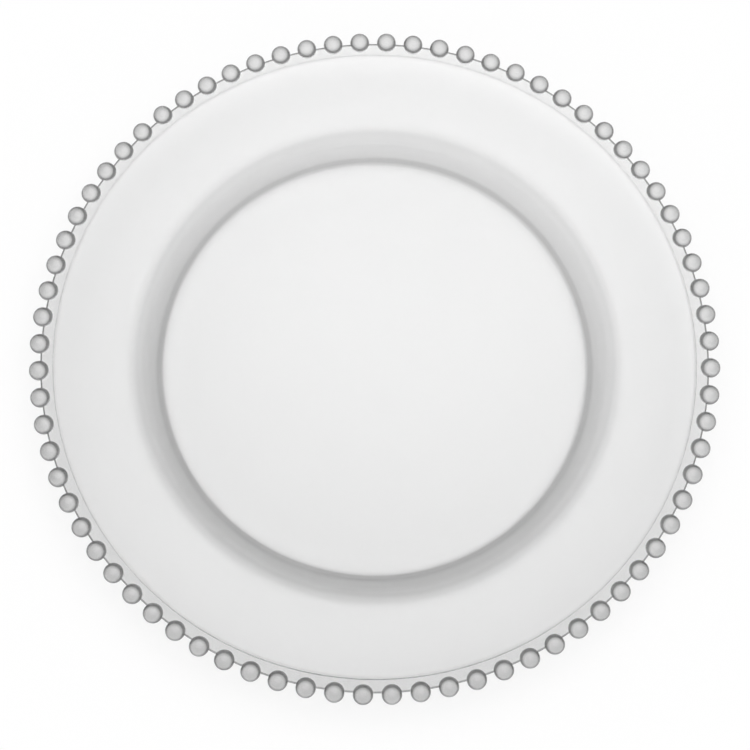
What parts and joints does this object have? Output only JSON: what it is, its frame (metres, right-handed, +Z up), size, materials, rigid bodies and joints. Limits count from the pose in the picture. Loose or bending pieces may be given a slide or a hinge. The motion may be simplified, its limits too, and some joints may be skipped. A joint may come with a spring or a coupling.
{
  "type": "charger plate",
  "caption": "Round clear glass charger plate with a flat recessed well, a sloping flange and a beaded rim, made to stand under a dinner plate.",
  "frame": {"origin": "centre of the plate on the plane that its foot stands on", "axes": "+Z up along the plate's axis, with a bead centred on +X and on +Y"},
  "size_m": [0.3294, 0.3294, 0.0267],
  "materials": {
    "dish_glass": "clear pressed glass, fire polished, with a faint waviness",
    "strip_glass": "clear pressed glass, fire polished edge",
    "bead_glass": "clear glass beads, fire polished"
  },
  "bodies": {
    "root": {"dish": "dish_glass", "bead_strip": "strip_glass", "rim_beads": "bead_glass"}
  },
  "joints": []
}
